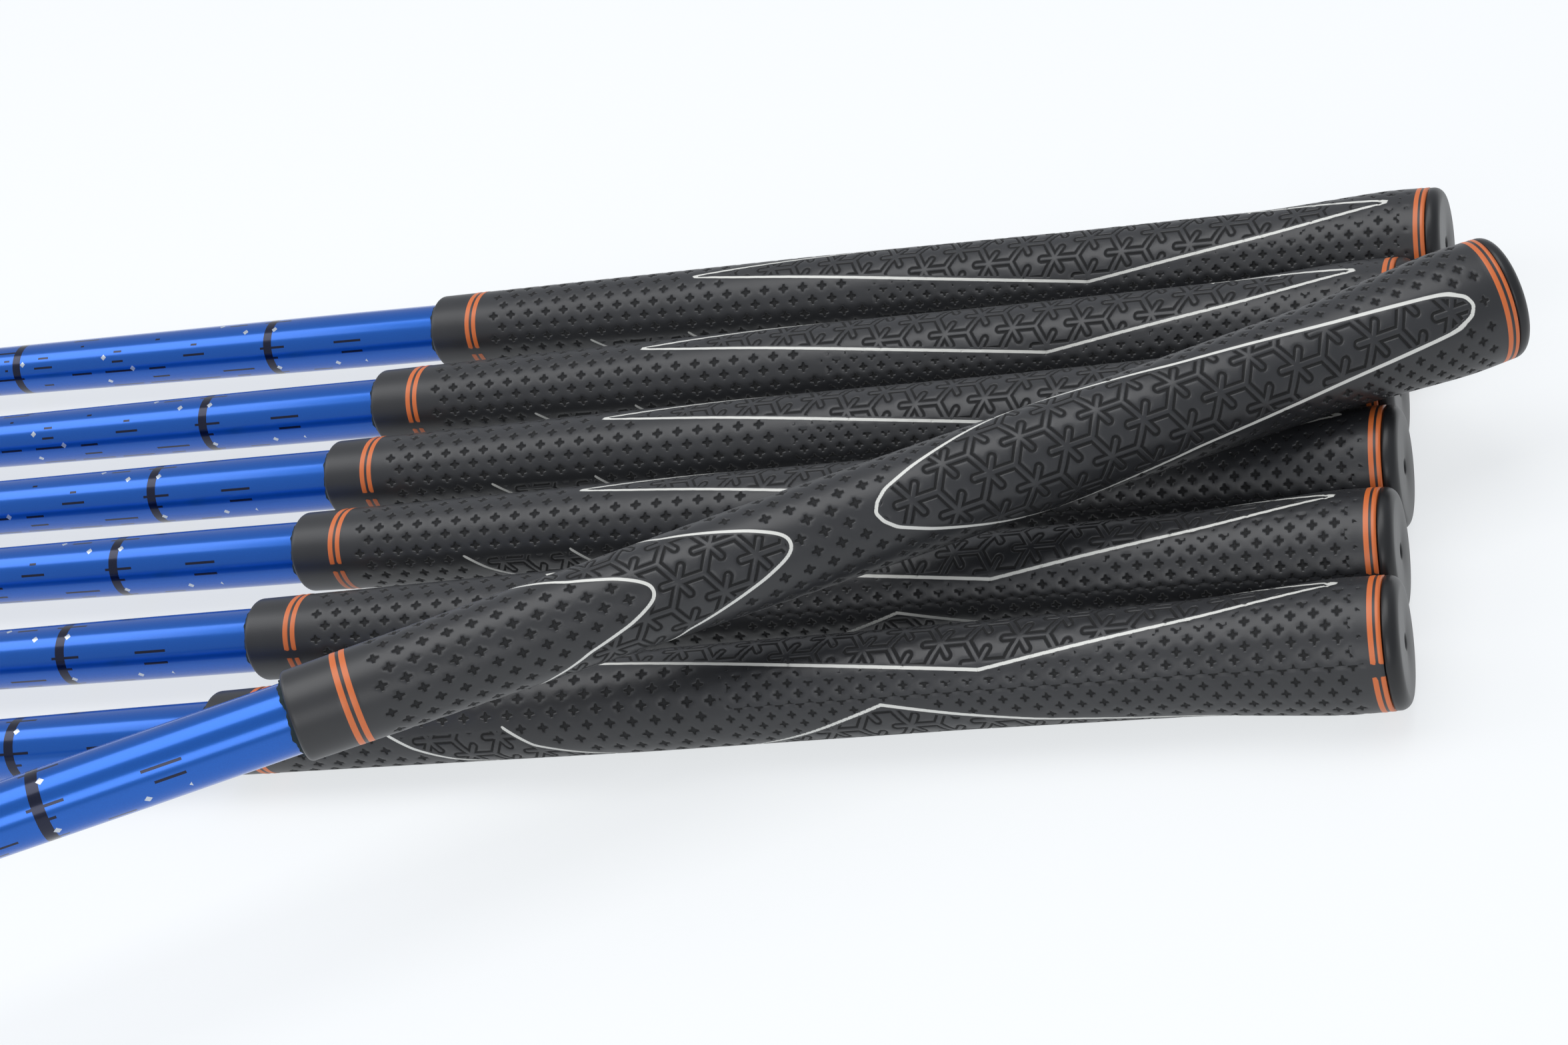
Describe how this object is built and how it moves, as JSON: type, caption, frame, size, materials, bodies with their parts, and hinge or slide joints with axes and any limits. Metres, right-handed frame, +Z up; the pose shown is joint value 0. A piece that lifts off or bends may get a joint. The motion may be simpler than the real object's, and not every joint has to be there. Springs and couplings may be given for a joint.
{
  "type": "golf club set",
  "caption": "Set of golf irons with rubber grips and lacquered blue shafts, lying side by side in a row with one club laid across the grips.",
  "frame": {"origin": "middle of the set's footprint, on the ground it lies on", "axes": "+X along the row of clubs towards the butt ends of the grips, +Y across the row away from the viewer, +Z up"},
  "size_m": [1.0284, 0.5986, 0.0858],
  "materials": {
    "head_steel": "satin nickel-chrome over cast steel",
    "ferrule_plastic": "polished",
    "shaft_lacquer": "clear lacquer over metallic blue",
    "grip_tape": "matt",
    "grip_rubber": "moulded tread with silver and orange painted lines",
    "cap_rubber": "smooth, slightly glossy"
  },
  "bodies": {
    "iron_5": {"iron_5_head": "head_steel", "iron_5_ferrule": "ferrule_plastic", "iron_5_shaft": "shaft_lacquer", "iron_5_grip_tape": "grip_tape", "iron_5_grip": "grip_rubber", "iron_5_grip_cap": "cap_rubber"},
    "iron_6": {"iron_6_head": "head_steel", "iron_6_ferrule": "ferrule_plastic", "iron_6_shaft": "shaft_lacquer", "iron_6_grip_tape": "grip_tape", "iron_6_grip": "grip_rubber", "iron_6_grip_cap": "cap_rubber"},
    "iron_7": {"iron_7_head": "head_steel", "iron_7_ferrule": "ferrule_plastic", "iron_7_shaft": "shaft_lacquer", "iron_7_grip_tape": "grip_tape", "iron_7_grip": "grip_rubber", "iron_7_grip_cap": "cap_rubber"},
    "iron_8": {"iron_8_head": "head_steel", "iron_8_ferrule": "ferrule_plastic", "iron_8_shaft": "shaft_lacquer", "iron_8_grip_tape": "grip_tape", "iron_8_grip": "grip_rubber", "iron_8_grip_cap": "cap_rubber"},
    "iron_9": {"iron_9_head": "head_steel", "iron_9_ferrule": "ferrule_plastic", "iron_9_shaft": "shaft_lacquer", "iron_9_grip_tape": "grip_tape", "iron_9_grip": "grip_rubber", "iron_9_grip_cap": "cap_rubber"},
    "pitching_wedge": {"pitching_wedge_head": "head_steel", "pitching_wedge_ferrule": "ferrule_plastic", "pitching_wedge_shaft": "shaft_lacquer", "pitching_wedge_grip_tape": "grip_tape", "pitching_wedge_grip": "grip_rubber", "pitching_wedge_grip_cap": "cap_rubber"},
    "sand_wedge": {"sand_wedge_head": "head_steel", "sand_wedge_ferrule": "ferrule_plastic", "sand_wedge_shaft": "shaft_lacquer", "sand_wedge_grip_tape": "grip_tape", "sand_wedge_grip": "grip_rubber", "sand_wedge_grip_cap": "cap_rubber"}
  },
  "joints": [
    {"name": "iron_7_slide", "type": "slide", "parent": "iron_8", "child": "iron_7", "axis": [0, 1, 0], "range_m": [0, 0.05]},
    {"name": "iron_6_slide", "type": "slide", "parent": "iron_7", "child": "iron_6", "axis": [0, 1, 0], "range_m": [0, 0.05]},
    {"name": "iron_5_slide", "type": "slide", "parent": "iron_6", "child": "iron_5", "axis": [0, 1, 0], "range_m": [0, 0.05]},
    {"name": "iron_9_slide", "type": "slide", "parent": "iron_8", "child": "iron_9", "axis": [0, -1, 0], "range_m": [0, 0.05]},
    {"name": "pitching_wedge_slide", "type": "slide", "parent": "iron_9", "child": "pitching_wedge", "axis": [0, -1, 0], "range_m": [0, 0.05]},
    {"name": "sand_wedge_lift", "type": "slide", "parent": "iron_8", "child": "sand_wedge", "axis": [0, 0, 1], "range_m": [0, 0.3]}
  ]
}
